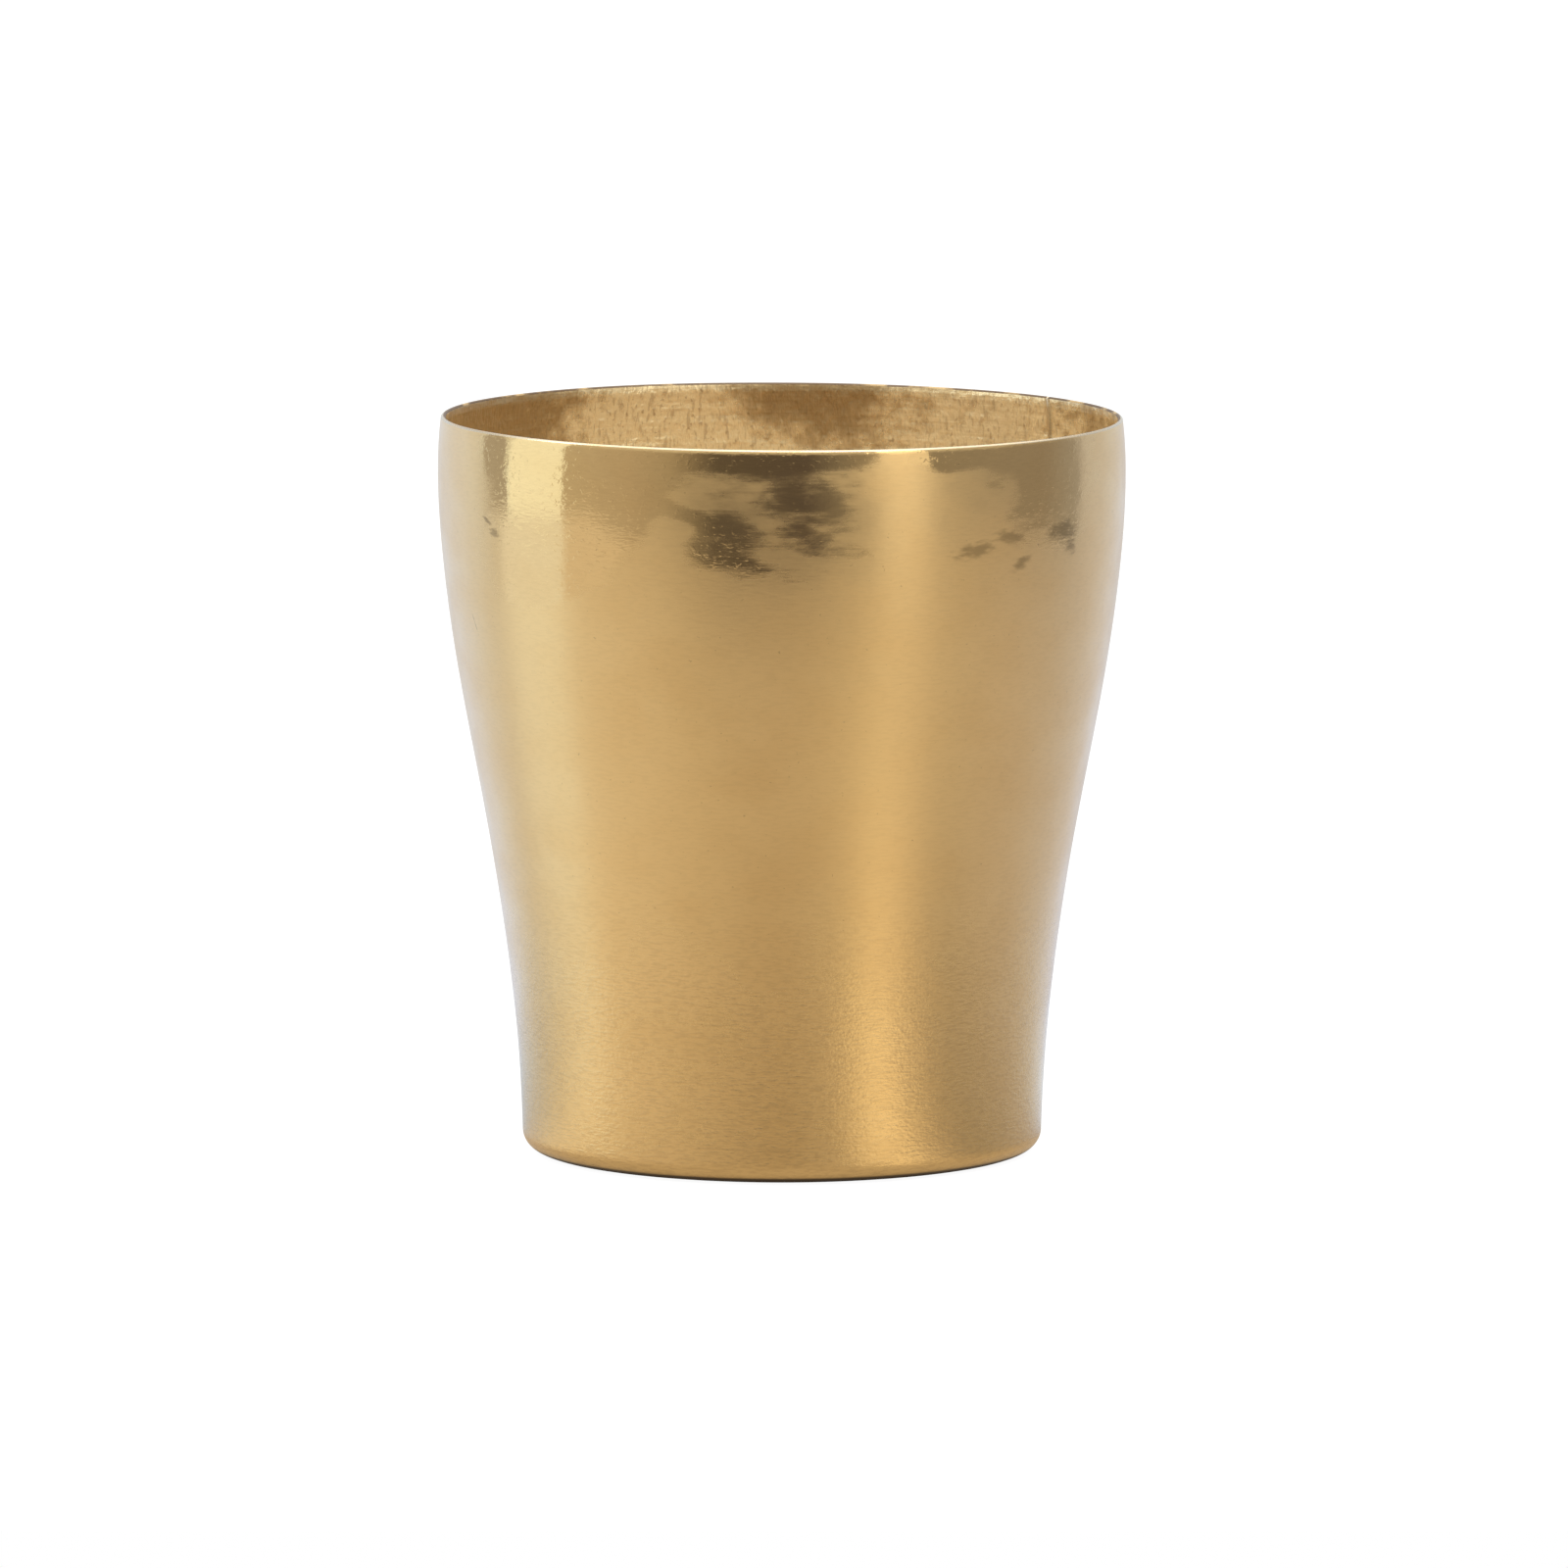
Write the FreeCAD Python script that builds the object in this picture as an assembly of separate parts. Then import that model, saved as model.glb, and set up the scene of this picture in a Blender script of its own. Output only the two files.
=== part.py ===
import FreeCAD, Part
import math
import os

from FreeCAD import Vector

# Brass planter pot, in millimetres. The origin is on the table under the middle of the base,
# +Z is up, and the pot is round about Z.
#
# The pot is sheet brass. One sheet is rolled into the wall and closed by a brazed side seam.
# The wall swells below the rim, narrows to the foot and turns in there through a rounded
# corner to a narrow flat lip. A flat disc is let into the lip's opening and brazed all round,
# and the pot stands on it.

# Driving dimensions
HEIGHT = 152.0              # table to the top of the rim
RIM_RADIUS = 70.0           # outside of the wall at the rim
FOOT_RADIUS = 49.4          # where the foot's rounded corner meets the flat lip
OPENING_RADIUS = 47.9       # the opening in the lip, which the base disc fills
WALL_SHEET = 1.0            # thickness of the wall
BASE_SHEET = 1.4            # thickness of the base disc
BASE_STEP = 0.4             # the base disc stands this far below the lip
FOOT_CORNER = 4.0           # outside radius of the foot's rounded corner
RIM_CROWN = 0.35            # height of the rounding on the edge of the sheet

# Control points of the side, from above the foot's corner to below the rim:
# (share of RIM_RADIUS, share of HEIGHT)
SIDE = [(0.771, 0.13), (0.817, 0.33), (0.910, 0.55), (0.994, 0.76), (1.019, 0.93)]

# Side seam: the gap between the two edges of the rolled sheet, filled with braze
SIDE_SEAM_ANGLE = 37.0      # its direction, in degrees from +X towards +Y
SIDE_SEAM_SWEEP = 0.5       # its width, in degrees
SIDE_BEAD = 0.25            # height of its bead on the inside of the wall
SIDE_BEAD_START = 8.0       # height at which the bead begins
SIDE_BEAD_END = 2.0         # distance below the rim at which the bead ends

# Base seam: the ring gap between the base disc and the lip, filled with braze
BASE_GAP = 0.3              # width of the gap
BASE_GROOVE_WIDTH = 0.8     # bevel on the disc's upper edge that takes the braze
BASE_GROOVE_DEPTH = 0.6
BASE_BEAD_WIDTH = 1.2       # how far the bead spreads over the lip
BASE_BEAD_HEIGHT = 0.3      # how far the bead stands above the disc and the lip
BASE_BEAD_SLOPE = 0.6       # width of the bead's sloping edges
BASE_EDGE = 0.25            # rounding of the disc's lower edge

Z_AXIS = Vector(0, 0, 1)
CORNER_CENTRE = Vector(FOOT_RADIUS, 0, BASE_STEP + FOOT_CORNER)


def on_circle(centre, radius, angle):
    """The point of a circle in the XZ plane at an angle, in radians from +X towards +Z."""
    return centre + Vector(radius * math.cos(angle), 0, radius * math.sin(angle))


def side_outline(inset):
    """The lip, the foot's corner and the side, moved in from the outside by inset."""
    corner_radius = FOOT_CORNER - inset
    poles = [Vector(width * RIM_RADIUS - inset, 0, level * HEIGHT) for width, level in SIDE]
    poles.append(Vector(RIM_RADIUS - inset, 0, HEIGHT - RIM_CROWN))

    # The side leaves the corner along the tangent that passes through its first control point.
    to_pole = poles[0] - CORNER_CENTRE
    start_angle = math.atan2(to_pole.z, to_pole.x) - math.acos(corner_radius / to_pole.Length)
    bottom_angle = -math.pi / 2
    bottom = on_circle(CORNER_CENTRE, corner_radius, bottom_angle)
    middle = on_circle(CORNER_CENTRE, corner_radius, (bottom_angle + start_angle) / 2)
    start = on_circle(CORNER_CENTRE, corner_radius, start_angle)

    lip = Part.LineSegment(Vector(OPENING_RADIUS, 0, bottom.z), bottom)
    corner = Part.Arc(bottom, middle, start)
    side = Part.BSplineCurve()
    side.buildFromPoles([start] + poles)
    return [lip, corner, side]


def straight_lines(points):
    """The straight lines from each point to the next."""
    return [Part.LineSegment(first, second) for first, second in zip(points, points[1:])]


def face_inside(outline):
    """The flat face inside a closed outline of curves, given in any order."""
    edges = Part.sortEdges([curve.toShape() for curve in outline])[0]
    return Part.Face(Part.Wire(edges))


def wall_section(thickness):
    """The cut face of the wall: two outlines, closed by the rounded rim and the lip's edge."""
    outer = side_outline(0)
    inner = side_outline(thickness)
    crown = Vector(RIM_RADIUS - thickness / 2, 0, HEIGHT)
    rim = Part.Arc(outer[-1].EndPoint, crown, inner[-1].EndPoint)
    lip_edge = Part.LineSegment(inner[0].StartPoint, outer[0].StartPoint)
    return face_inside(outer + [rim] + inner + [lip_edge])


def turned(section, first_angle, sweep):
    """The solid that a section in the XZ plane makes when it is turned about Z, in degrees."""
    placed = section.copy()
    placed.rotate(Vector(0, 0, 0), Z_AXIS, first_angle)
    return placed.revolve(Vector(0, 0, 0), Z_AXIS, sweep)


def pot_wall():
    """The rolled and raised sheet, open along the side seam."""
    first_angle = SIDE_SEAM_ANGLE + SIDE_SEAM_SWEEP / 2
    return turned(wall_section(WALL_SHEET), first_angle, 360 - SIDE_SEAM_SWEEP)


def side_seam_braze():
    """The filler between the sheet's two edges, with a low bead on the inside."""
    first_angle = SIDE_SEAM_ANGLE - SIDE_SEAM_SWEEP / 2
    filler = turned(wall_section(WALL_SHEET), first_angle, SIDE_SEAM_SWEEP)
    bead_wall = turned(wall_section(WALL_SHEET + SIDE_BEAD), first_angle, SIDE_SEAM_SWEEP)
    bead_height = HEIGHT - SIDE_BEAD_END - SIDE_BEAD_START
    bead_zone = Part.makeCylinder(2 * RIM_RADIUS, bead_height, Vector(0, 0, SIDE_BEAD_START))
    return filler.fuse(bead_wall.common(bead_zone)).removeSplitter()


def base_disc():
    """The flat disc: its lower edge is rounded and its upper edge is bevelled for the braze."""
    radius = OPENING_RADIUS - BASE_GAP
    edge_centre = Vector(radius - BASE_EDGE, 0, BASE_EDGE)
    edge_middle = on_circle(edge_centre, BASE_EDGE, -math.pi / 4)
    edge_bottom = Vector(radius - BASE_EDGE, 0, 0)
    edge_side = Vector(radius, 0, BASE_EDGE)
    others = [
        edge_side,
        Vector(radius, 0, BASE_SHEET - BASE_GROOVE_DEPTH),
        Vector(radius - BASE_GROOVE_WIDTH, 0, BASE_SHEET),
        Vector(0, 0, BASE_SHEET),
        Vector(0, 0, 0),
        edge_bottom,
    ]
    rounding = Part.Arc(edge_bottom, edge_middle, edge_side)
    return turned(face_inside([rounding] + straight_lines(others)), 0, 360)


def base_seam_braze():
    """The ring of filler round the base disc, with a low bead on the inside of the pot."""
    disc_radius = OPENING_RADIUS - BASE_GAP
    bead_inner = disc_radius - BASE_GROOVE_WIDTH
    bead_outer = OPENING_RADIUS + BASE_BEAD_WIDTH
    corners = [
        Vector(disc_radius, 0, BASE_STEP),
        Vector(OPENING_RADIUS, 0, BASE_STEP),
        Vector(OPENING_RADIUS, 0, BASE_SHEET),
        Vector(bead_outer, 0, BASE_SHEET),
        Vector(bead_outer - BASE_BEAD_SLOPE, 0, BASE_SHEET + BASE_BEAD_HEIGHT),
        Vector(bead_inner + BASE_BEAD_SLOPE, 0, BASE_SHEET + BASE_BEAD_HEIGHT),
        Vector(bead_inner, 0, BASE_SHEET),
        Vector(disc_radius, 0, BASE_SHEET - BASE_GROOVE_DEPTH),
    ]
    return turned(face_inside(straight_lines(corners + corners[:1])), 0, 360)


NODES = {
    "pot_wall": pot_wall,
    "side_seam_braze": side_seam_braze,
    "base_disc": base_disc,
    "base_seam_braze": base_seam_braze,
}


def main():
    os.makedirs("parts", exist_ok=True)
    for name, make in NODES.items():
        solid, = make().Solids
        solid.exportStep("parts/" + name + ".step")
        print(name, "valid:", solid.isValid(), "volume:", round(solid.Volume, 1), "mm3")


main()
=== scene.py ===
import math

import bpy
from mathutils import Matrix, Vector, noise


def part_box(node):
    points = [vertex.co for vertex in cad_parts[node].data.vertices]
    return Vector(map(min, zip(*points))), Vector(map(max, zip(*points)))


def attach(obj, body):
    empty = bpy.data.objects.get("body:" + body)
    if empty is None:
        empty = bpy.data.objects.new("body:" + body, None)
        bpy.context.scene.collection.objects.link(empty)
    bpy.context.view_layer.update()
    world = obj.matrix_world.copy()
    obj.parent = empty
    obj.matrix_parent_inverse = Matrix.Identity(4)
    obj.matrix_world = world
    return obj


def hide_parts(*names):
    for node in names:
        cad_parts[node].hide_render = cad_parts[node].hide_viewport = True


# Looks of the brass planter pot, in metres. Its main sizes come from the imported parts. The pot
# is round about Z and stands on the plane z = 0. Angles round the pot are in degrees and count
# from the front (-Y) towards the right (+X).

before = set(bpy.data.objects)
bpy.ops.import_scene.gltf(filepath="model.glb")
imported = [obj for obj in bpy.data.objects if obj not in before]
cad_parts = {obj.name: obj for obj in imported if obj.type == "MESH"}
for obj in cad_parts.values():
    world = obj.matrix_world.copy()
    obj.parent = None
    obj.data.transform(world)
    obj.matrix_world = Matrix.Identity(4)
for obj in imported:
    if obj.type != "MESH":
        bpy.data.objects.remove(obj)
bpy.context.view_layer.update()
wall_low, wall_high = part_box("pot_wall")
disc_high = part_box("base_disc")[1]
bead_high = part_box("base_seam_braze")[1]

MM = 0.001
HEIGHT = wall_high.z
RIM_RADIUS = 0.9907 * max(wall_high.x, wall_high.y)     # the pot is a little wider below the rim
WALL_SHEET = RIM_RADIUS / 70
RIM_CROWN = 0.35 * WALL_SHEET                           # height of the rounding of the rim
DISC_RADIUS = disc_high.x
OPENING_RADIUS = DISC_RADIUS + 0.3 * WALL_SHEET         # the opening in the lip
FOOT_RADIUS = OPENING_RADIUS + 1.5 * WALL_SHEET         # where the corner meets the lip
FOOT_CORNER = 4 * WALL_SHEET                            # outside radius of the foot's corner
BASE_SHEET = disc_high.z                                # thickness of the base disc
BASE_STEP = wall_low.z                                  # the disc stands this far below the lip
GROOVE_WIDTH = 0.8 * WALL_SHEET                         # bevel on the disc's upper edge
GROOVE_DEPTH = 0.6 * WALL_SHEET
BASE_EDGE = 0.25 * WALL_SHEET                           # rounding of the disc's lower edge

# The side, from above the foot's corner to below the rim: (share of RIM_RADIUS, share of HEIGHT)
SIDE = [(0.771, 0.13), (0.817, 0.33), (0.910, 0.55), (0.994, 0.76), (1.019, 0.93)]

# The hand-made surface stays inside the true outline: it is drawn in by this much, and the
# irregularities below are smaller.
DRAWN_IN = 0.15 * MM
RIM_TILT = 0.0046           # the rim's fall from left to right, per unit of width

SEAM_ANGLE = 127.0          # the side seam, behind the pot and to the right
SEAM_SWEEP = 0.5            # its width, in degrees
SEAM_BEAD = 0.25 * MM       # height of its bead inside
BASE_DISH = 0.10 * MM       # depth of the dishing of the base disc

# How finely the meshes are divided: columns stand round the pot, rows go along the outline
WALL_COLUMNS = 400
SIDE_SEAM_COLUMNS = 7
BASE_COLUMNS = 240
BASE_SEAM_COLUMNS = 360
OUTSIDE_CORNER, OUTSIDE_SIDE = 12, 150
INSIDE_CORNER, INSIDE_SIDE = 8, 64
RIM_POINTS = 9
BASE_RINGS = 24
BASE_EDGE_POINTS = 6
BEAD_STEPS = 12


# ---------------------------------------------------------------- outlines and shapes

def on_circle(centre, radius, angle):
    """The point (r, z) of a circle at an angle in radians from the outward direction."""
    return (centre[0] + radius * math.cos(angle), centre[1] + radius * math.sin(angle))


def arc(centre, radius, first, last, count):
    """Evenly spaced points (r, z) along an arc."""
    return [on_circle(centre, radius, first + (last - first) * i / (count - 1))
            for i in range(count)]


def spline(poles, count):
    """Points along the clamped uniform cubic B-spline of some control points (r, z)."""
    spans = len(poles) - 3
    knots = [0] * 3 + list(range(spans + 1)) + [spans] * 3
    points = []
    for i in range(count):
        t = spans * i / (count - 1)
        span = min(int(t), spans - 1) + 3
        local = [poles[span - 3 + j] for j in range(4)]
        for level in range(1, 4):
            for j in range(3, level - 1, -1):
                k = span - 3 + j
                share = (t - knots[k]) / (knots[k + 4 - level] - knots[k])
                local[j] = tuple((1 - share) * a + share * b
                                 for a, b in zip(local[j - 1], local[j]))
        points.append(local[3])
    return points


def side_outline(inset, corner_points, side_points):
    """The lip, the foot's corner and the side, from the opening upwards, moved in by inset."""
    centre = (FOOT_RADIUS, BASE_STEP + FOOT_CORNER)
    radius = FOOT_CORNER - inset
    poles = [(width * RIM_RADIUS - inset, level * HEIGHT) for width, level in SIDE]
    poles.append((RIM_RADIUS - inset, HEIGHT - RIM_CROWN))
    across = poles[0][0] - centre[0]
    up = poles[0][1] - centre[1]
    start = math.atan2(up, across) - math.acos(radius / math.hypot(across, up))
    lip = (OPENING_RADIUS, centre[1] - radius)
    corner = arc(centre, radius, -math.pi / 2, start, corner_points)
    return [lip] + corner[:-1] + spline([corner[-1]] + poles, side_points)


def direction(angle):
    """The horizontal direction at an angle in degrees from the front towards the right."""
    turn = math.radians(angle)
    return Vector((math.sin(turn), -math.cos(turn), 0))


def smooth(value, low, high):
    """0 below low, 1 above high and a smooth rise between them."""
    share = min(max((value - low) / (high - low), 0), 1)
    return share * share * (3 - 2 * share)


def unevenness(angle, height):
    """How far the beaten sheet stands out from the true shape: always below 0, except at the
    foot, which is true."""
    place = direction(angle) * RIM_RADIUS + Vector((0, 0, height))
    broad = noise.noise(place / (38 * MM) + Vector((3.1, 0, 0)))
    blows = noise.noise(place / (9 * MM) + Vector((0, 7.4, 0)))
    above_foot = smooth(height, 3 * MM, 25 * MM)
    return above_foot * (0.10 * MM * broad + 0.012 * MM * blows - DRAWN_IN)


def rim_lift(angle, height):
    """The change of a place's height, never above 0: the rim isn't quite level, but falls to
    the right and waves a little."""
    place = direction(angle)
    top = smooth(height, 0.6 * HEIGHT, HEIGHT)
    wave = 0.12 * MM * noise.noise(place * 1.7 + Vector((0, 0, 5.0)))
    highest = RIM_TILT * RIM_RADIUS + 0.08 * MM
    return top * (wave - RIM_TILT * RIM_RADIUS * place.x - highest)


def shaped(angle, radius, height, bead=0.0):
    """The place on the finished wall of a point of the outline."""
    out = radius + unevenness(angle, height) - bead
    return direction(angle) * out + Vector((0, 0, height + rim_lift(angle, height)))


def piece(name, points, faces, slot, *nodes):
    """A finished mesh piece that rides on the pot and stands for some CAD nodes."""
    mesh = bpy.data.meshes.new(name)
    mesh.from_pydata(points, [], faces)
    mesh.shade_smooth()
    made = bpy.data.objects.new(name, mesh)
    bpy.context.collection.objects.link(made)
    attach(made, "root")
    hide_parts(*nodes)
    return made


def grid_faces(columns, rows, closed_columns, closed_rows):
    """Quads between the points of a grid stored column by column."""
    faces = []
    for c in range(columns if closed_columns else columns - 1):
        after = (c + 1) % columns
        for r in range(rows if closed_rows else rows - 1):
            above = (r + 1) % rows
            faces.append((c * rows + r, after * rows + r, after * rows + above, c * rows + above))
    return faces


def strip_faces(columns, rows):
    """The faces of a closed outline swept part of the way round, with a face on each end."""
    faces = grid_faces(columns, rows, False, True)
    faces.append(tuple(range(rows)))
    faces.append(tuple(reversed(range((columns - 1) * rows, columns * rows))))
    return faces


# ---------------------------------------------------------------- the pieces

def wall_outline():
    """The wall's closed outline: up the outside, over the rounded rim and down the inside."""
    outside = side_outline(0, OUTSIDE_CORNER, OUTSIDE_SIDE)
    inside = side_outline(WALL_SHEET, INSIDE_CORNER, INSIDE_SIDE)
    half = WALL_SHEET / 2
    radius = (half ** 2 + RIM_CROWN ** 2) / (2 * RIM_CROWN)
    centre = (RIM_RADIUS - half, HEIGHT - radius)
    spread = math.asin(half / radius)
    rim = arc(centre, radius, math.pi / 2 - spread, math.pi / 2 + spread, RIM_POINTS)
    return outside, rim[1:-1], inside[::-1]


def make_wall():
    """The beaten sheet, open along the side seam."""
    outside, rim, inside = wall_outline()
    outline = outside + rim + inside
    rows = len(outline)
    first = SEAM_ANGLE + SEAM_SWEEP / 2
    step = (360 - SEAM_SWEEP) / (WALL_COLUMNS - 1)
    points = [shaped(first + step * c, radius, height)
              for c in range(WALL_COLUMNS) for radius, height in outline]
    faces = strip_faces(WALL_COLUMNS, rows)
    wall = piece("wall", points, faces, "wall_brass", "pot_wall")

    rim_starts = len(outside) - 1
    burr_starts = len(outside) + len(rim) // 2
    inside_starts = len(outside) + len(rim)
    # Outside, this number is the polish. Inside, it places the painted highlights and painted
    # shade.
    polish_and_painted_light = wall.data.attributes.new("polish_and_painted_light", "FLOAT", "POINT")
    for index, point in enumerate(points):
        is_inside = index % rows >= inside_starts
        polish_and_painted_light.data[index].value = painted_light_at(point) if is_inside else polish_at(point)

    # The materials stand in the order in which the outline reaches them.
    for material in (outside_brass(), rim_brass(), burr(), inside_brass()):
        wall.data.materials.append(material)
    for index, polygon in enumerate(wall.data.polygons):
        row = index % rows
        polygon.material_index = sum(
            row >= start for start in (rim_starts, burr_starts, inside_starts))


def make_side_seam():
    """The filler of the side seam: filed flush outside, a low lumpy bead inside."""
    outside, rim, inside = wall_outline()
    first = SEAM_ANGLE - SEAM_SWEEP / 2
    points = []
    for c in range(SIDE_SEAM_COLUMNS):
        share = c / (SIDE_SEAM_COLUMNS - 1)
        angle = first + SEAM_SWEEP * share
        for radius, height in outside + rim:
            points.append(shaped(angle, radius, height))
        for radius, height in inside:
            ends = smooth(height, 5 * MM, 12 * MM) * smooth(HEIGHT - height, 1 * MM, 5 * MM)
            lump = 0.75 + 0.5 * noise.noise(Vector((share, 4.0, height / (4 * MM))))
            bead = SEAM_BEAD * ends * lump * math.sin(math.pi * share)
            points.append(shaped(angle, radius, height, bead))
    faces = strip_faces(SIDE_SEAM_COLUMNS, len(outside + rim + inside))
    return piece("side_seam", points, faces, "braze", "side_seam_braze")


def make_base():
    """The base disc: rounded below, bevelled above for the braze, its faces hardly dished."""
    rings = [DISC_RADIUS * i / BASE_RINGS for i in range(1, BASE_RINGS)]
    edge_centre = (DISC_RADIUS - BASE_EDGE, BASE_EDGE)
    outline = [(radius, 0.0) for radius in rings]
    outline += arc(edge_centre, BASE_EDGE, -math.pi / 2, 0, BASE_EDGE_POINTS)
    outline.append((DISC_RADIUS, BASE_SHEET - GROOVE_DEPTH))
    outline.append((DISC_RADIUS - GROOVE_WIDTH, BASE_SHEET))
    outline += [(radius, BASE_SHEET) for radius in reversed(rings)]
    points = []
    for c in range(BASE_COLUMNS):
        for radius, height in outline:
            place = direction(360 * c / BASE_COLUMNS) * radius
            inward = 1 - smooth(radius, 0.75 * DISC_RADIUS, 0.96 * DISC_RADIUS)
            dish = BASE_DISH * inward * (0.6 + 0.4 * noise.noise(place / (22 * MM)))
            moved = dish if height < BASE_SHEET / 2 else -dish / 2
            points.append(place + Vector((0, 0, height + moved)))
    rows = len(outline)
    faces = grid_faces(BASE_COLUMNS, rows, True, False)
    under = len(points)
    points.append(Vector((0, 0, BASE_DISH)))
    above = len(points)
    points.append(Vector((0, 0, BASE_SHEET - BASE_DISH / 2)))
    for c in range(BASE_COLUMNS):
        after = (c + 1) % BASE_COLUMNS
        faces.append((under, after * rows, c * rows))
        faces.append((above, c * rows + rows - 1, after * rows + rows - 1))
    return piece("base", points, faces, "base_brass", "base_disc")


def make_base_seam():
    """The ring of filler round the base disc, with an uneven bead inside the pot."""
    bead_height = bead_high.z - BASE_SHEET
    bead_outer = bead_high.x
    bead_inner = DISC_RADIUS - GROOVE_WIDTH
    below = [(DISC_RADIUS, BASE_STEP), (OPENING_RADIUS, BASE_STEP), (OPENING_RADIUS, BASE_SHEET)]
    shares = [i / BEAD_STEPS for i in range(BEAD_STEPS + 1)]
    bead = [(bead_outer + (bead_inner - bead_outer) * share, BASE_SHEET) for share in shares]
    outline = below + bead + [(DISC_RADIUS, BASE_SHEET - GROOVE_DEPTH)]
    crowns = [0] * len(below) + [math.sin(math.pi * share) for share in shares] + [0]
    points = []
    for c in range(BASE_SEAM_COLUMNS):
        place = direction(360 * c / BASE_SEAM_COLUMNS)
        lump = 0.75 + 0.45 * noise.noise(place * FOOT_RADIUS / (3.5 * MM))
        for (radius, height), crown in zip(outline, crowns):
            points.append(place * radius + Vector((0, 0, height + bead_height * crown * lump)))
    faces = grid_faces(BASE_SEAM_COLUMNS, len(outline), True, True)
    return piece("base_seam", points, faces, "braze", "base_seam_braze")


# ---------------------------------------------------------------- where the polish is

# The buffing wheel left mirror-bright patches under the rim:
# (angle, drop below the rim, half width, half height, slant, strength). Lengths are in
# millimetres along the surface, and the slant is the extra drop per length to the right.
# A strength below 0 takes polish away. The higher the edge, the sharper the patches' edges.
PATCH_EDGE = 2
PATCHES = [
    (-4, 0.5, 25, 4.5, 0.0, 1.3),
    (-4, 8.0, 15, 6.0, 0.0, 0.2),
    (4.5, 12.0, 9.5, 6.0, 0.25, 0.45),
    (11, 9.0, 6, 6.5, 0.0, 0.2),
    (2, 18.5, 7, 3.0, 0.1, 0.4),
    (-10, 19.5, 8, 6.5, -0.1, 0.7),
    (-15, 14.0, 6, 1.8, 0.3, 0.6),
    (-5, 23.5, 4, 1.4, 0.2, 0.5),
    (10, 21.0, 9, 3.0, 0.0, 0.3),
    (0, 26.0, 10, 2.5, 0.0, 0.35),
    (-33, 8.0, 10, 11.0, 0.0, 0.7),
    (-38, 11.0, 24, 20.0, -0.5, 2.0),
    (-57, 2.5, 5, 6.0, 0.0, 0.8),
    (29, 2.0, 9, 4.0, 0.0, 0.9),
    (50, 7.0, 18.5, 15.0, 0.0, 0.75),
    (33, 13.0, 6, 7.0, 0.0, -0.3),
    (40.5, 11.0, 3.5, 4.0, 0.0, -0.35),
    (55, 20.5, 6, 3.0, 0.0, 0.7),
]
# Small brown stains, flecks and a scratch outside: (angle, drop, half width, half height, turn
# in degrees). Lengths are in millimetres.
MARKS = [
    (33.5, 21.8, 4.2, 1.3, -8),
    (41, 19.6, 3.4, 1.3, 5),
    (43.5, 25.2, 2.2, 1.1, -20),
    (56.5, 23.2, 1.8, 1.2, 15),
    (54, 19.6, 4.2, 1.8, 0),
    (-58.1, 18.0, 1.6, 0.4, 25),
    (-56.0, 20.2, 1.7, 0.7, 5),
    (-66, 40.0, 0.16, 2.2, -25),
]
# Painted highlights and painted shade inside: where the colour is made brighter or duller, given
# as the patches are
PAINTED_LIGHT_EDGE = 1.1
PAINTED_LIGHT_SPOTS = [
    (-156, 9, 20, 12, 0.0, 1.1),
    (-174, 16, 16, 6, 0.0, 0.6),
    (142, 8, 26, 16, 0.0, 0.6),
    (176, 3, 15, 8, 0.0, -0.6),
    (-121, 6, 26, 30, 0.0, -0.6),
]


def spots_at(point, spots, edge):
    """The sum of some oval spots on the wall at a place."""
    angle = math.degrees(math.atan2(point.x, -point.y))
    drop = (HEIGHT - point.z) / MM
    level = 0
    for centre, depth, half_width, half_height, slant, strength in spots:
        turn = (angle - centre + 180) % 360 - 180
        length = math.radians(turn) * RIM_RADIUS / MM
        across = length / half_width
        down = (drop - depth - slant * length) / half_height
        level += strength * math.exp(-(across ** 2 + down ** 2) ** edge)
    return level


def polish_at(point):
    """How bright the buffing left a place outside: 1 is a mirror and 0 is satin. Between the
    patches it is nearly satin, and it is wholly satin further down."""
    drop = (HEIGHT - point.z) / MM
    return 0.1 - 0.5 * smooth(drop, 22, 45) + spots_at(point, PATCHES, PATCH_EDGE)


def painted_light_at(point):
    """How bright a place inside is painted, for painted highlights and painted shade: 1 is bare
    metal and 0 is dull.
    """
    return 0.4 + spots_at(point, PAINTED_LIGHT_SPOTS, PAINTED_LIGHT_EDGE)


# ---------------------------------------------------------------- materials

def linear(red, green, blue):
    """A colour given as linear values, for a shader's socket."""
    return (red, green, blue, 1.0)


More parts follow.
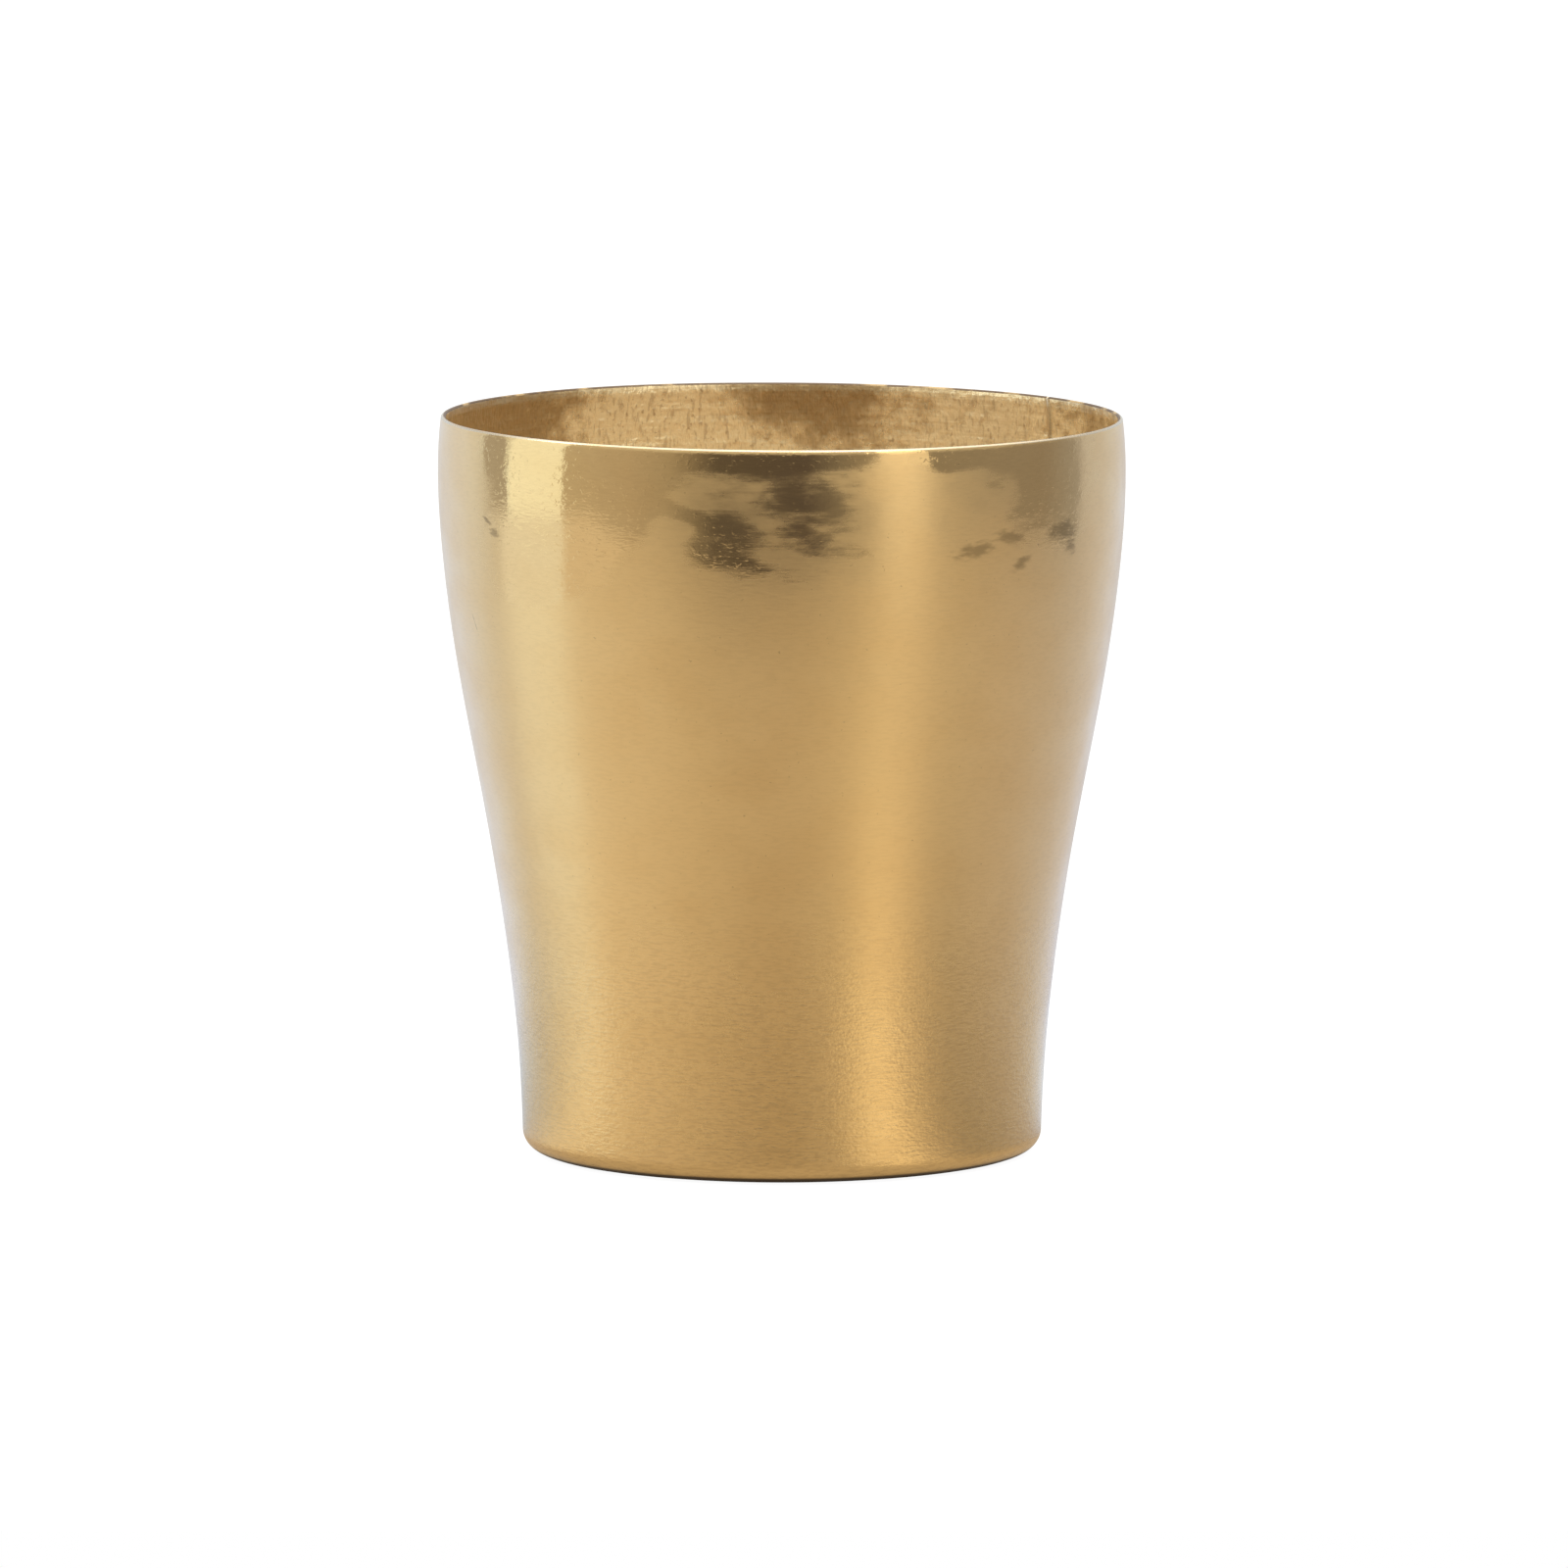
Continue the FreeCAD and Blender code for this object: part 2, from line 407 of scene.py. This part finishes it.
class Shader:
    """The node tree of a material or of the world, built one call to a node."""

    def __init__(self, owner):
        self.owner = owner
        owner.use_nodes = True
        self.tree = owner.node_tree
        self.tree.nodes.clear()

    def add(self, kind, inputs=None, **settings):
        """A new node: settings are its properties, inputs its sockets' values or links."""
        node = self.tree.nodes.new("ShaderNode" + kind)
        for key, value in settings.items():
            setattr(node, key, value)
        for key, value in (inputs or {}).items():
            if isinstance(value, bpy.types.NodeSocket):
                self.tree.links.new(value, node.inputs[key])
            else:
                node.inputs[key].default_value = value
        return node

    def place(self, across, up):
        """Object coordinates in units of across (level) and up, both in metres."""
        coordinates = self.add("TexCoord").outputs["Object"]
        scale = (1 / across, 1 / across, 1 / up)
        return self.add("Mapping", {"Vector": coordinates, "Scale": scale}).outputs["Vector"]

    def noise(self, across, up, detail=3.0, roughness=0.55, offset=0.0):
        """Soft noise from 0 to 1 with features of about the given sizes, in metres."""
        place = self.place(across, up)
        moved = self.add("VectorMath", {0: place, 1: (offset, offset, offset)})
        made = self.add("TexNoise", {"Vector": moved.outputs[0], "Scale": 1.0,
                                     "Detail": detail, "Roughness": roughness})
        return made.outputs["Fac"]

    def height(self):
        """The height above the table, in metres."""
        return self.add("SeparateXYZ", {0: self.add("TexCoord").outputs["Object"]}).outputs["Z"]

    def attribute(self, name):
        """A number stored on the mesh's points."""
        return self.add("Attribute", attribute_name=name).outputs["Fac"]

    def mark(self, angle, drop, half_width, half_height, turn, ragged):
        """A ragged oval mark on the outside of the pot: 1 in its middle and 0 outside it."""
        centre = direction(angle) * RIM_RADIUS + Vector((0, 0, HEIGHT - drop * MM))
        depth = 8 * MM
        place = self.add("Mapping", {
            "Vector": self.add("TexCoord").outputs["Object"],
            "Location": centre,
            "Rotation": (0, math.radians(turn), math.radians(angle)),
            "Scale": (half_width * MM, depth, half_height * MM),
        }, vector_type="TEXTURE").outputs["Vector"]
        away = self.add("VectorMath", {0: place}, operation="LENGTH").outputs["Value"]
        return self.remap(self.math("ADD", away, ragged), 1.5, 0.3)

    def math(self, operation, first, second=0.0, third=0.0):
        """One arithmetic step."""
        inputs = {0: first, 1: second, 2: third}
        return self.add("Math", inputs, operation=operation).outputs[0]

    def remap(self, value, low, high, to_low=0.0, to_high=1.0):
        """A value between low and high, moved smoothly to between to_low and to_high."""
        made = self.add("MapRange", {"Value": value, "From Min": low, "From Max": high,
                                     "To Min": to_low, "To Max": to_high},
                        interpolation_type="SMOOTHSTEP")
        return made.outputs["Result"]

    def mix(self, share, first, second):
        """A mix of two numbers."""
        made = self.add("Mix", {0: share, 2: first, 3: second}, data_type="FLOAT")
        return made.outputs[0]

    def blend(self, share, first, second):
        """A mix of two colours."""
        made = self.add("Mix", {0: share, 6: first, 7: second}, data_type="RGBA")
        return made.outputs[2]

    def bump(self, height, depth, strength, normal=None):
        """A bumped normal: depth is the height's full range in metres."""
        inputs = {"Height": height, "Distance": depth, "Strength": strength}
        if normal is not None:
            inputs["Normal"] = normal
        return self.add("Bump", inputs).outputs["Normal"]

    def metal(self, colour, roughness, normal, anisotropic=0.0, bare=1.0):
        """Closes the tree with a metal surface, brushed round the pot's axis if it is
        anisotropic. Only the bare share mirrors the room, and the rest scatters light."""
        inputs = {"Base Color": colour, "Metallic": bare, "Roughness": roughness,
                  "Normal": normal, "Anisotropic": anisotropic}
        if anisotropic:
            inputs["Tangent"] = self.add("Tangent", direction_type="RADIAL", axis="Z").outputs[0]
            inputs["Anisotropic Rotation"] = 0.25
        surface = self.add("BsdfPrincipled", inputs).outputs["BSDF"]
        self.add("OutputMaterial", {"Surface": surface})
        return self.owner


BRASS = linear(0.78, 0.54, 0.24)
WARM_BRASS = linear(0.72, 0.46, 0.18)
TARNISH = linear(0.40, 0.27, 0.13)
STAIN = linear(0.34, 0.23, 0.10)
# Dark brown: the torch browning of the burr, and the painted shade along the foot
BURNT_AND_PAINTED_SHADE = linear(0.14, 0.09, 0.05)
RAW_BRASS = linear(0.52, 0.37, 0.18)
# The bright brass of the painted highlights inside the pot
PAINTED_HIGHLIGHT_BRASS = linear(1.0, 0.80, 0.45)
PALE_BRAZE = linear(0.86, 0.68, 0.38)
PALE_EDGE = linear(0.64, 0.54, 0.38)


def outside_brass():
    """Buffed to a mirror in patches under the rim, satin with fine level brush marks below, and
    darkened along the foot by painted shade.
    """
    s = Shader(bpy.data.materials.new("outside_brass"))
    clouds = s.noise(16 * MM, 12 * MM, detail=4.0, offset=5.0)
    streaks = s.noise(9 * MM, 0.35 * MM, detail=3.0, offset=9.0)
    ragged = s.noise(7 * MM, 2.4 * MM, detail=5.0, roughness=0.6, offset=2.0)
    low = s.remap(s.height(), 70 * MM, 30 * MM)

    raggedness = s.math("MULTIPLY_ADD", ragged, 1.1, -0.55)
    streaked = s.math("MULTIPLY_ADD", streaks, 0.5, -0.25)
    polish = s.math("ADD", s.attribute("polish_and_painted_light"), s.math("ADD", raggedness, streaked))
    mirror = s.remap(polish, 0.25, 0.90)

    satin = s.math("MULTIPLY_ADD", streaks, 0.05, s.remap(clouds, 0.3, 0.7, 0.27, 0.34))
    satin = s.math("MULTIPLY_ADD", low, -0.07, satin)
    roughness = s.mix(mirror, satin, s.remap(streaks, 0.3, 0.7, 0.05, 0.10))

    tint = s.blend(s.remap(clouds, 0.35, 0.75, 0.0, 0.3), BRASS, WARM_BRASS)
    pits = s.noise(0.9 * MM, 0.7 * MM, detail=2.0, offset=13.0)
    specks = s.remap(pits, 0.70, 0.78)
    colour = s.blend(s.math("MULTIPLY", specks, 0.5), tint, TARNISH)
    brushed = s.noise(2.2 * MM, 0.45 * MM, detail=2.0, offset=1.0)
    marks = s.math("MULTIPLY", s.remap(brushed, 0.42, 0.66), s.mix(low, 0.08, 0.22))
    colour = s.blend(marks, colour, TARNISH)
    frayed = s.noise(3.0 * MM, 0.8 * MM, detail=3.0, offset=14.0)
    frayed = s.math("MULTIPLY_ADD", frayed, 2.4, -1.2)
    stains = 0.0
    for mark in MARKS:
        stains = s.math("MAXIMUM", stains, s.mark(*mark, frayed))
    colour = s.blend(s.math("MULTIPLY", stains, 0.7), colour, STAIN)
    # Painted shade: the wall is darkened at its very foot, below 1.7 mm, where it nearly meets
    # the table.
    painted_foot_shade = s.remap(s.height(), 1.7 * MM, 1.2 * MM)
    colour = s.blend(painted_foot_shade, colour, BURNT_AND_PAINTED_SHADE)

    orange_peel = s.noise(2.2 * MM, 1.5 * MM, detail=3.0, offset=4.0)
    scuffed = s.noise(0.7 * MM, 0.6 * MM, detail=3.0, offset=20.0)
    grit = s.remap(s.noise(1.3 * MM, 0.9 * MM, detail=3.0, offset=17.0), 0.56, 0.68)
    normal = s.bump(orange_peel, 0.02 * MM, 0.6)
    normal = s.bump(streaks, 0.004 * MM, 0.5, normal)
    normal = s.bump(brushed, 0.08 * MM, s.mix(low, 0.2, 1.0), normal)
    normal = s.bump(scuffed, 0.09 * MM, s.mix(low, 0.05, 0.9), normal)
    normal = s.bump(grit, 0.02 * MM, s.math("MULTIPLY", mirror, 0.6), normal)
    normal = s.bump(s.math("SUBTRACT", 1.0, specks), 0.02 * MM, 0.5, normal)
    return s.metal(colour, roughness, normal, anisotropic=0.6)


def inside_brass():
    """Left raw inside: fine upright scraper marks, pits and a few turned rings, with broad
    painted highlights and painted shade in its colour.
    """
    s = Shader(bpy.data.materials.new("inside_brass"))
    scraped = s.noise(0.8 * MM, 2.6 * MM, detail=2.0, offset=3.0)
    dents = s.noise(4.0 * MM, 3.0 * MM, detail=2.5, offset=6.0)
    pits = s.noise(1.1 * MM, 1.3 * MM, detail=2.0, offset=8.0)
    rings = s.noise(60 * MM, 1.6 * MM, detail=2.0, offset=2.0)
    uneven = s.math("ADD", s.math("MULTIPLY", scraped, 0.6), s.math("MULTIPLY", dents, 1.4))
    bare = s.math("ADD", s.attribute("polish_and_painted_light"), s.math("SUBTRACT", uneven, 1.0))
    # Painted light: the colour runs from dull brass in the painted shade to bright brass in the
    # painted highlights.
    colour = s.blend(s.remap(bare, 0.0, 1.0), RAW_BRASS, PAINTED_HIGHLIGHT_BRASS)
    colour = s.blend(s.remap(scraped, 0.52, 0.66, 0.0, 0.4), colour, TARNISH)
    colour = s.blend(s.remap(pits, 0.60, 0.75, 0.0, 0.6), colour, TARNISH)
    roughness = s.remap(bare, 0.0, 1.0, 0.40, 0.22)
    normal = s.bump(dents, 0.35 * MM, 0.7)
    normal = s.bump(scraped, 0.20 * MM, 0.9, normal)
    normal = s.bump(rings, 0.20 * MM, 0.6, normal)
    normal = s.bump(pits, 0.12 * MM, 0.6, normal)
    # The brightest places, the painted highlights, mirror less of the room and scatter more
    # light, which brightens them further.
    mirroring = s.remap(bare, 0.1, 1.0, 0.85, 0.5)
    return s.metal(colour, roughness, normal, bare=mirroring)


def rim_brass():
    """The sheet's filed and polished edge: pale, with file marks across it."""
    s = Shader(bpy.data.materials.new("rim_brass"))
    filed = s.noise(0.4 * MM, 2.0 * MM, detail=3.0, offset=7.0)
    dull = s.noise(8 * MM, 8 * MM, detail=2.0, offset=1.0)
    colour = s.blend(s.remap(dull, 0.45, 0.75, 0.0, 0.5), PALE_EDGE, BRASS)
    roughness = s.remap(filed, 0.3, 0.7, 0.20, 0.32)
    return s.metal(colour, roughness, s.bump(filed, 0.02 * MM, 0.5))


def burr():
    """The rim's inner edge: a burr browned by the torch, bare in places."""
    s = Shader(bpy.data.materials.new("burr"))
    bare = s.noise(9 * MM, 9 * MM, detail=4.0, offset=12.0)
    colour = s.blend(s.remap(bare, 0.50, 0.65), BURNT_AND_PAINTED_SHADE, RAW_BRASS)
    rough = s.noise(0.8 * MM, 0.8 * MM)
    return s.metal(colour, 0.5, s.bump(rough, 0.05 * MM, 0.7), bare=0.5)


def braze():
    """Pale filler: finely pitted, stained where the flux burnt and filed bright at the rim."""
    s = Shader(bpy.data.materials.new("braze"))
    lumps = s.noise(1.5 * MM, 1.5 * MM, detail=4.0)
    pits = s.noise(0.3 * MM, 0.3 * MM, detail=2.0, offset=3.0)
    stain = s.noise(4 * MM, 6 * MM, detail=3.0, offset=5.0)
    filed = s.remap(s.height(), HEIGHT - 3 * MM, HEIGHT - 2 * MM)
    colour = s.blend(s.remap(stain, 0.40, 0.70, 0.5, 0.9), PALE_BRAZE, RAW_BRASS)
    colour = s.blend(filed, colour, PALE_EDGE)
    roughness = s.mix(filed, s.remap(pits, 0.3, 0.7, 0.35, 0.55), 0.5)
    normal = s.bump(lumps, 0.05 * MM, 0.6)
    normal = s.bump(pits, 0.02 * MM, 0.6, normal)
    return s.metal(colour, roughness, normal, bare=0.6)


def base_brass():
    """Turned disc: fine rings round the middle, scuffs and a dull tarnish."""
    s = Shader(bpy.data.materials.new("base_brass"))
    spread = s.add("VectorMath", {0: s.place(1.0, 1.0 / MM)}, operation="LENGTH").outputs["Value"]
    rings = s.add("TexNoise", {"W": s.math("MULTIPLY", spread, 1 / (0.35 * MM)), "Scale": 1.0,
                               "Detail": 3.0}, noise_dimensions="1D").outputs["Fac"]
    scuffs = s.noise(6 * MM, 6 * MM, detail=5.0, roughness=0.65)
    spots = s.noise(1.2 * MM, 1.2 * MM, detail=3.0, offset=4.0)
    colour = s.blend(s.remap(scuffs, 0.4, 0.75, 0.0, 0.7), WARM_BRASS, TARNISH)
    colour = s.blend(s.remap(spots, 0.62, 0.72, 0.0, 0.5), colour, TARNISH)
    roughness = s.remap(scuffs, 0.3, 0.7, 0.28, 0.45)
    normal = s.bump(rings, 0.02 * MM, 0.6)
    normal = s.bump(spots, 0.02 * MM, 0.4, normal)
    return s.metal(colour, roughness, normal)


# ---------------------------------------------------------------- studio

# The long lens looks a little down at the pot from the front. Lengths are in rim radii.
CAMERA_DISTANCE = 42.82
CAMERA_HEIGHT = 6.471
CAMERA_AIM = 1.0795         # the height it aims at
CAMERA_SIDEWAYS = 0.0061

# What the pot mirrors above the room: a pale ceiling and a bright zenith. The limits say how
# steeply the view goes up, from 0 for level to 1 for straight up.
CEILING_LIMITS, CEILING = (0.16, 0.45), (0.8, 0.8, 0.8)
ZENITH_LIMITS, ZENITH = (0.50, 0.80), (2.2, 2.15, 2.05)

# What the table shows the pot close to the foot: the pot's own shadow, then a plain ring. The
# limits are distances from the pot's axis, in rim radii, where each gives way to the next.
SHADOW_LIMITS, SHADOW = (0.70, 0.77), (0.04, 0.03, 0.02)
PLAIN_LIMITS, PLAIN = (0.80, 0.94), (0.60, 0.52, 0.42)
NEAR_LIMITS = (1.57, 3.14)

# The lamps, all of them aimed at the pot:
# (name, bearing, distance, height, width, length, colour, radiance). Lengths are in metres.
LAMPS = [
    ("window", -89.5, 1.2, 0.25, 0.56, 1.1, (0.58, 0.78, 1.0), 0.93),
    ("window_top", -89.5, 1.2, 1.0, 0.56, 0.5, (0.90, 0.96, 1.0), 3.0),
    ("right_lamp", 41, 1.2, 0.25, 0.35, 1.1, (1.0, 0.97, 0.92), 0.72),
    ("right_lamp_top", 41, 1.2, 1.0, 0.35, 0.5, (1.0, 0.97, 0.92), 3.0),
    ("overhead", 10, 0.9, 1.4, 1.0, 1.0, (1.0, 0.98, 0.95), 1.8),
]

# What the pot mirrors at each bearing from the front towards the right: the room, the table
# close to the pot and the table further off.
ROOM = [
    (-180, (0.82, 0.90, 1.00)),
    (-154, (0.82, 0.94, 1.12)),
    (-136, (0.90, 1.06, 1.42)),
    (-120.5, (0.90, 1.05, 1.30)),
    (-118.5, (0.52, 0.54, 0.60)),
    (-104.5, (0.50, 0.52, 0.58)),
    (-103, (0.65, 0.64, 0.62)),
    (-78, (0.65, 0.64, 0.62)),
    (-52, (0.56, 0.52, 0.48)),
    (-38, (0.46, 0.43, 0.39)),
    (-29, (0.26, 0.24, 0.22)),
    (-22, (0.14, 0.13, 0.13)),
    (8, (0.12, 0.11, 0.12)),
    (20, (0.26, 0.25, 0.25)),
    (30, (0.40, 0.38, 0.36)),
    (50, (0.34, 0.33, 0.33)),
    (98, (0.34, 0.33, 0.35)),
    (118, (0.42, 0.45, 0.55)),
    (122, (0.66, 0.72, 0.92)),
    (150, (0.78, 0.88, 1.02)),
    (180, (0.82, 0.90, 1.00)),
]
TABLE_NEAR = [
    (-180, (0.78, 0.86, 0.94)),
    (-136, (0.64, 0.78, 1.00)),
    (-107, (0.62, 0.66, 0.74)),
    (-92, (0.78, 0.78, 0.78)),
    (-72, (1.06, 1.01, 0.93)),
    (-60, (0.88, 0.79, 0.68)),
    (0, (0.53, 0.44, 0.33)),
    (16, (0.58, 0.50, 0.40)),
    (26, (1.00, 0.88, 0.68)),
    (34, (1.32, 1.16, 0.90)),
    (40, (1.00, 0.88, 0.70)),
    (50, (0.60, 0.52, 0.43)),
    (60, (0.41, 0.37, 0.32)),
    (100, (0.54, 0.52, 0.55)),
    (136, (0.84, 0.98, 1.22)),
    (180, (0.78, 0.86, 0.94)),
]
TABLE_FAR = [
    (-180, (0.80, 0.88, 0.98)),
    (-136, (0.84, 1.00, 1.40)),
    (-108, (0.80, 0.86, 1.00)),
    (-103, (0.98, 1.08, 1.27)),
    (-77, (1.00, 1.10, 1.28)),
    (-74, (0.86, 0.84, 0.84)),
    (-50, (0.82, 0.78, 0.74)),
    (-30, (0.76, 0.70, 0.63)),
    (0, (0.72, 0.65, 0.58)),
    (26, (0.76, 0.70, 0.62)),
    (31, (0.86, 0.80, 0.71)),
    (45, (0.80, 0.73, 0.65)),
    (56, (0.69, 0.64, 0.59)),
    (80, (0.68, 0.64, 0.66)),
    (118, (0.66, 0.70, 0.90)),
    (150, (0.80, 0.92, 1.22)),
    (180, (0.80, 0.88, 0.98)),
]


def bearing_colours(s, across, along, stops):
    """The colours of a list of bearings, spread round the pot's axis."""
    forward = s.math("MULTIPLY", along, -1.0)
    bearing = s.math("ARCTAN2", across, forward)
    share = s.math("MULTIPLY_ADD", bearing, 1 / math.tau, 0.5)
    ramp = s.add("ValToRGB", {"Fac": share})
    elements = ramp.color_ramp.elements
    for element, (angle, colour) in zip((elements[0], elements[1]), (stops[0], stops[-1])):
        element.position = (angle + 180) / 360
        element.color = linear(*colour)
    for angle, colour in stops[1:-1]:
        elements.new((angle + 180) / 360).color = linear(*colour)
    return ramp.outputs["Color"]


def make_world():
    """White behind the pot for the camera. The pot itself mirrors the room all round."""
    world = bpy.data.worlds.new("studio")
    bpy.context.scene.world = world
    s = Shader(world)
    view = s.add("SeparateXYZ", {0: s.add("TexCoord").outputs["Generated"]}).outputs
    room = bearing_colours(s, view["X"], view["Y"], ROOM)
    sky = s.blend(s.remap(view["Z"], *CEILING_LIMITS), room, linear(*CEILING))
    sky = s.blend(s.remap(view["Z"], *ZENITH_LIMITS), sky, linear(*ZENITH))
    camera = s.add("LightPath").outputs["Is Camera Ray"]
    background = s.add("Background", {"Color": s.blend(camera, sky, linear(1, 1, 1))})
    s.add("OutputWorld", {"Surface": background.outputs[0]})


def softbox(name, bearing, distance, height, width, length, colour, radiance):
    """A soft rectangular lamp facing the pot, seen only in the pot's reflections."""
    data = bpy.data.lights.new(name, "AREA")
    data.shape = "RECTANGLE"
    data.size = width
    data.size_y = length
    data.color = colour
    data.energy = radiance * math.pi * width * length
    lamp = bpy.data.objects.new(name, data)
    lamp.location = direction(bearing) * distance + Vector((0, 0, height))
    aim = Vector((0, 0, HEIGHT / 2)) - lamp.location
    lamp.rotation_euler = aim.to_track_quat("-Z", "Y").to_euler()
    lamp.visible_camera = False
    bpy.context.collection.objects.link(lamp)


def make_lamps():
    """A cool window to the left and a lamp to the front right, both brighter towards the top,
    and a large soft lamp overhead."""
    for lamp in LAMPS:
        softbox(*lamp)


def make_floor():
    """A plain pale table, nearly white to the camera. The pot mirrors colours in it instead, by
    bearing, with a plain ring and the pot's own shadow close to the foot."""
    left, right, front, back = -1.0, 0.70, -0.45, 4.0
    corners = [(left, front, 0), (right, front, 0), (right, back, 0), (left, back, 0)]
    mesh = bpy.data.meshes.new("floor")
    mesh.from_pydata(corners, [], [(0, 1, 2, 3)])
    floor = bpy.data.objects.new("floor", mesh)
    bpy.context.collection.objects.link(floor)

    s = Shader(bpy.data.materials.new("floor"))
    place = s.add("TexCoord").outputs["Object"]
    away = s.add("VectorMath", {0: place}, operation="LENGTH").outputs["Value"]
    radii = s.math("DIVIDE", away, RIM_RADIUS)
    across = s.add("SeparateXYZ", {0: place}).outputs
    near = bearing_colours(s, across["X"], across["Y"], TABLE_NEAR)
    far = bearing_colours(s, across["X"], across["Y"], TABLE_FAR)
    table = s.blend(s.remap(radii, *NEAR_LIMITS), near, far)
    table = s.blend(s.remap(radii, *PLAIN_LIMITS), linear(*PLAIN), table)
    table = s.blend(s.remap(radii, *SHADOW_LIMITS), linear(*SHADOW), table)
    # To every ray but the camera's, the table glows: the light on it by bearing, the ring and the
    # pot's shadow near the foot are painted into that glow.
    mirrored = s.add("Emission", {"Color": table}).outputs[0]
    matt = s.add("BsdfDiffuse", {"Color": linear(0.12, 0.12, 0.12)}).outputs["BSDF"]
    glow = s.add("Emission", {"Color": linear(0.95, 0.95, 0.95)}).outputs[0]
    lit = s.add("AddShader", {0: matt, 1: glow}).outputs[0]
    camera = s.add("LightPath").outputs["Is Camera Ray"]
    both = s.add("MixShader", {0: camera, 1: mirrored, 2: lit}).outputs[0]
    s.add("OutputMaterial", {"Surface": both})
    mesh.materials.append(s.owner)


def make_camera():
    """A long lens looking a little down at the pot."""
    place = Vector((CAMERA_SIDEWAYS, -CAMERA_DISTANCE, CAMERA_HEIGHT)) * RIM_RADIUS
    target = Vector((CAMERA_SIDEWAYS, 0, CAMERA_AIM)) * RIM_RADIUS
    data = bpy.data.cameras.new("camera")
    data.sensor_width = 36
    data.lens = 337.5
    data.clip_end = 20
    camera = bpy.data.objects.new("camera", data)
    camera.location = place
    camera.rotation_euler = (target - place).to_track_quat("-Z", "Y").to_euler()
    bpy.context.collection.objects.link(camera)
    bpy.context.scene.camera = camera


def main():
    """The pot, what it stands on and what it mirrors."""
    make_wall()
    filler = braze()
    make_side_seam().data.materials.append(filler)
    make_base().data.materials.append(base_brass())
    make_base_seam().data.materials.append(filler)

    make_world()
    make_lamps()
    make_floor()
    make_camera()
    bpy.context.scene.view_settings.view_transform = "Standard"


main()
